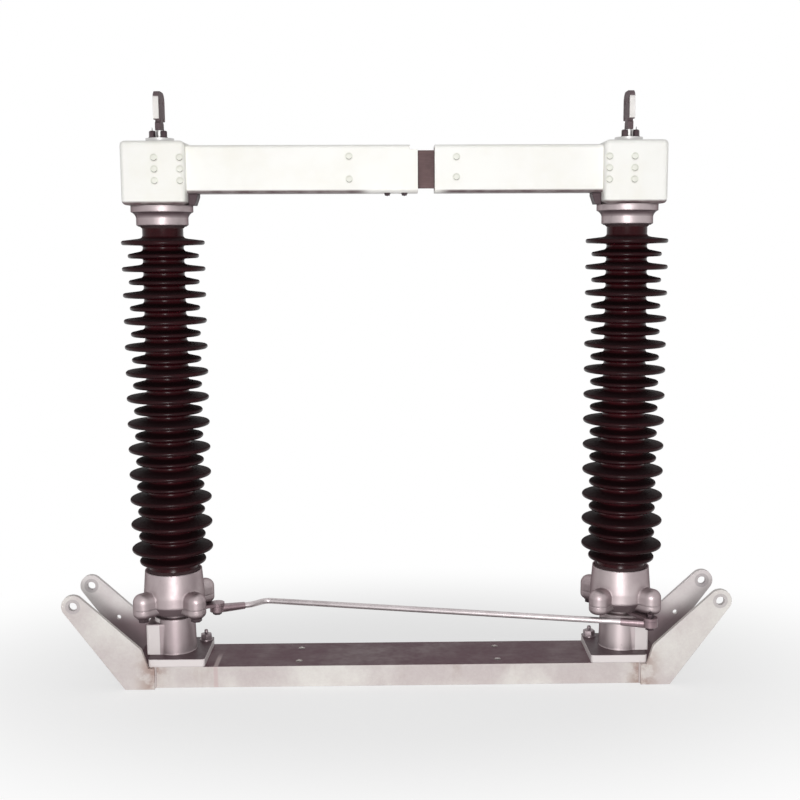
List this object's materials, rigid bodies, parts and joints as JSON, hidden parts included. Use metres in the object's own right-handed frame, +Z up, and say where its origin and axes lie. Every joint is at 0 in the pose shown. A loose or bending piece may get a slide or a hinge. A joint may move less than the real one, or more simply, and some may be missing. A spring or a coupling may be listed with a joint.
{
  "type": "substation disconnect switch",
  "caption": "Centre-break high-voltage disconnect switch pole: turning brown shed insulators on a channel base carry white arms that swing apart, linked by a crossed tie rod.",
  "frame": {"origin": "on the floor under the middle of the channel base, midway between the posts", "axes": "+X along the base to the right in the picture, +Y to the rear, +Z up"},
  "size_m": [1.75, 0.253, 1.5418],
  "materials": {
    "galvanised_steel": "dull",
    "cast_metal": "rough",
    "brown_porcelain": "gloss",
    "white_paint": "satin paint",
    "bare_aluminium": "satin",
    "contact_metal": "tarnished"
  },
  "bodies": {
    "base": {"base_channel": "galvanised_steel", "front_left_ear": "galvanised_steel", "rear_left_ear": "galvanised_steel", "left_bearing_housing": "cast_metal", "front_right_ear": "galvanised_steel", "rear_right_ear": "galvanised_steel", "right_bearing_housing": "cast_metal"},
    "tie_rod": {"tie_rod": "galvanised_steel", "tie_rod_left_eye": "galvanised_steel", "tie_rod_right_eye": "galvanised_steel"},
    "left_column": {"left_turntable": "cast_metal", "left_crank": "galvanised_steel", "left_bottom_flange": "cast_metal", "left_insulator": "brown_porcelain", "left_top_cap": "cast_metal", "left_terminal_box": "white_paint", "left_arm": "white_paint", "left_arm_bracket": "cast_metal", "left_contact_fingers": "contact_metal"},
    "left_terminal": {"left_terminal_stem": "bare_aluminium", "left_terminal_pad": "bare_aluminium"},
    "right_column": {"right_turntable": "cast_metal", "right_crank": "galvanised_steel", "right_bottom_flange": "cast_metal", "right_insulator": "brown_porcelain", "right_top_cap": "cast_metal", "right_terminal_box": "white_paint", "right_arm": "white_paint", "right_arm_bracket": "cast_metal", "right_contact_blade": "contact_metal"},
    "right_terminal": {"right_terminal_stem": "bare_aluminium", "right_terminal_pad": "bare_aluminium"}
  },
  "joints": [
    {"name": "left_post_turn", "type": "hinge", "parent": "base", "child": "left_column", "pos_m": [-0.6, 0, 0.172], "axis": [0, 0, 1], "range_deg": [0, 90]},
    {"name": "right_post_turn", "type": "hinge", "parent": "base", "child": "right_column", "pos_m": [0.6, 0, 0.172], "axis": [0, 0, -1], "range_deg": [0, 90]},
    {"name": "left_terminal_turn", "type": "hinge", "parent": "left_column", "child": "left_terminal", "pos_m": [-0.6, 0, 1.4], "axis": [0, 0, -1], "range_deg": [0, 90]},
    {"name": "right_terminal_turn", "type": "hinge", "parent": "right_column", "child": "right_terminal", "pos_m": [0.6, 0, 1.4], "axis": [0, 0, 1], "range_deg": [0, 90]},
    {"name": "tie_rod_slide", "type": "slide", "parent": "base", "child": "tie_rod", "axis": [-0.9659, 0.2588, 0], "range_m": [0, 0.16971]}
  ],
  "couplings": [
    {"joint": "right_post_turn", "follows": "left_post_turn", "ratio": 1},
    {"joint": "left_terminal_turn", "follows": "left_post_turn", "ratio": 1},
    {"joint": "right_terminal_turn", "follows": "left_post_turn", "ratio": 1},
    {"joint": "tie_rod_slide", "follows": "left_post_turn", "m_per_rad": 0.10804}
  ]
}
